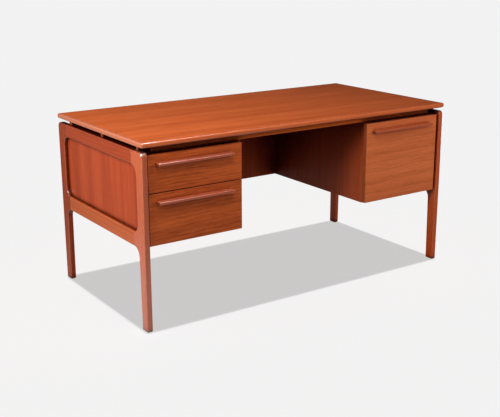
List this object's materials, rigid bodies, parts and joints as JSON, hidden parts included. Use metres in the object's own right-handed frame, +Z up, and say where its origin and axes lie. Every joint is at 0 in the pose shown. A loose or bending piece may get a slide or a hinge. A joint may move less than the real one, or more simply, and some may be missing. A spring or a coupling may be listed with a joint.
{
  "type": "pedestal desk",
  "caption": "Free-standing writing desk with a floating top over open side frames and sliding drawers in pedestals on each side of the knee space.",
  "frame": {"origin": "on the floor, at the middle of the desk's outline including its pulls", "axes": "+X to the right along the width, -Y towards the sitter (drawers open that way), +Z up"},
  "size_m": [1.5, 0.76, 0.724],
  "materials": {
    "teak_top_veneer": "oiled teak veneer, grain along the width",
    "teak_lipping": "oiled solid teak",
    "teak_frame": "oiled solid teak, grain along each piece",
    "teak_under_top": "solid teak",
    "teak_panel_veneer": "oiled teak veneer, upright grain",
    "teak_case_board": "oiled teak veneer",
    "teak_front_veneer": "oiled teak veneer, level grain",
    "teak_pull": "oiled solid teak",
    "oak_drawer_box": "waxed oak",
    "birch_plywood": "plain birch plywood",
    "beech_runner": "waxed beech",
    "beech_dowel": "plain beech",
    "steel_screw": "plain steel"
  },
  "bodies": {
    "desk": {"top_panel": "teak_top_veneer", "top_lipping_front": "teak_lipping", "top_lipping_right": "teak_lipping", "top_lipping_back": "teak_lipping", "top_lipping_left": "teak_lipping", "front_left_leg": "teak_frame", "rear_left_leg": "teak_frame", "left_bottom_rail": "teak_frame", "left_top_rail": "teak_frame", "left_end_panel": "teak_panel_veneer", "front_right_leg": "teak_frame", "rear_right_leg": "teak_frame", "right_bottom_rail": "teak_frame", "right_top_rail": "teak_frame", "right_end_panel": "teak_panel_veneer", "frame_dowels": "beech_dowel", "frame_spacers": "teak_under_top", "left_case_outer_side": "teak_panel_veneer", "left_case_inner_side": "teak_panel_veneer", "left_case_bottom": "teak_case_board", "left_case_top": "teak_case_board", "left_case_back": "teak_panel_veneer", "right_case_outer_side": "teak_panel_veneer", "right_case_inner_side": "teak_panel_veneer", "right_case_bottom": "teak_case_board", "right_case_top": "teak_case_board", "right_case_back": "teak_panel_veneer", "modesty_panel": "teak_panel_veneer", "front_stretcher": "teak_under_top", "rear_stretcher": "teak_under_top", "upper_left_outer_runner": "beech_runner", "upper_left_inner_runner": "beech_runner", "lower_left_outer_runner": "beech_runner", "lower_left_inner_runner": "beech_runner", "right_outer_runner": "beech_runner", "right_inner_runner": "beech_runner", "runner_screws": "steel_screw", "case_screws": "steel_screw", "top_screws": "steel_screw"},
    "upper_left_drawer": {"upper_left_drawer_front": "teak_front_veneer", "upper_left_drawer_pull": "teak_pull", "upper_left_drawer_outer_side": "oak_drawer_box", "upper_left_drawer_inner_side": "oak_drawer_box", "upper_left_drawer_back": "oak_drawer_box", "upper_left_drawer_bottom": "birch_plywood", "upper_left_drawer_pull_screws": "steel_screw"},
    "lower_left_drawer": {"lower_left_drawer_front": "teak_front_veneer", "lower_left_drawer_pull": "teak_pull", "lower_left_drawer_outer_side": "oak_drawer_box", "lower_left_drawer_inner_side": "oak_drawer_box", "lower_left_drawer_back": "oak_drawer_box", "lower_left_drawer_bottom": "birch_plywood", "lower_left_drawer_pull_screws": "steel_screw"},
    "right_drawer": {"right_drawer_front": "teak_front_veneer", "right_drawer_pull": "teak_pull", "right_drawer_outer_side": "oak_drawer_box", "right_drawer_inner_side": "oak_drawer_box", "right_drawer_back": "oak_drawer_box", "right_drawer_bottom": "birch_plywood", "right_drawer_pull_screws": "steel_screw"}
  },
  "joints": [
    {"name": "upper_left_drawer_slide", "type": "slide", "parent": "desk", "child": "upper_left_drawer", "axis": [0, -1, 0], "range_m": [0, 0.42]},
    {"name": "lower_left_drawer_slide", "type": "slide", "parent": "desk", "child": "lower_left_drawer", "axis": [0, -1, 0], "range_m": [0, 0.42]},
    {"name": "right_drawer_slide", "type": "slide", "parent": "desk", "child": "right_drawer", "axis": [0, -1, 0], "range_m": [0, 0.42]}
  ]
}
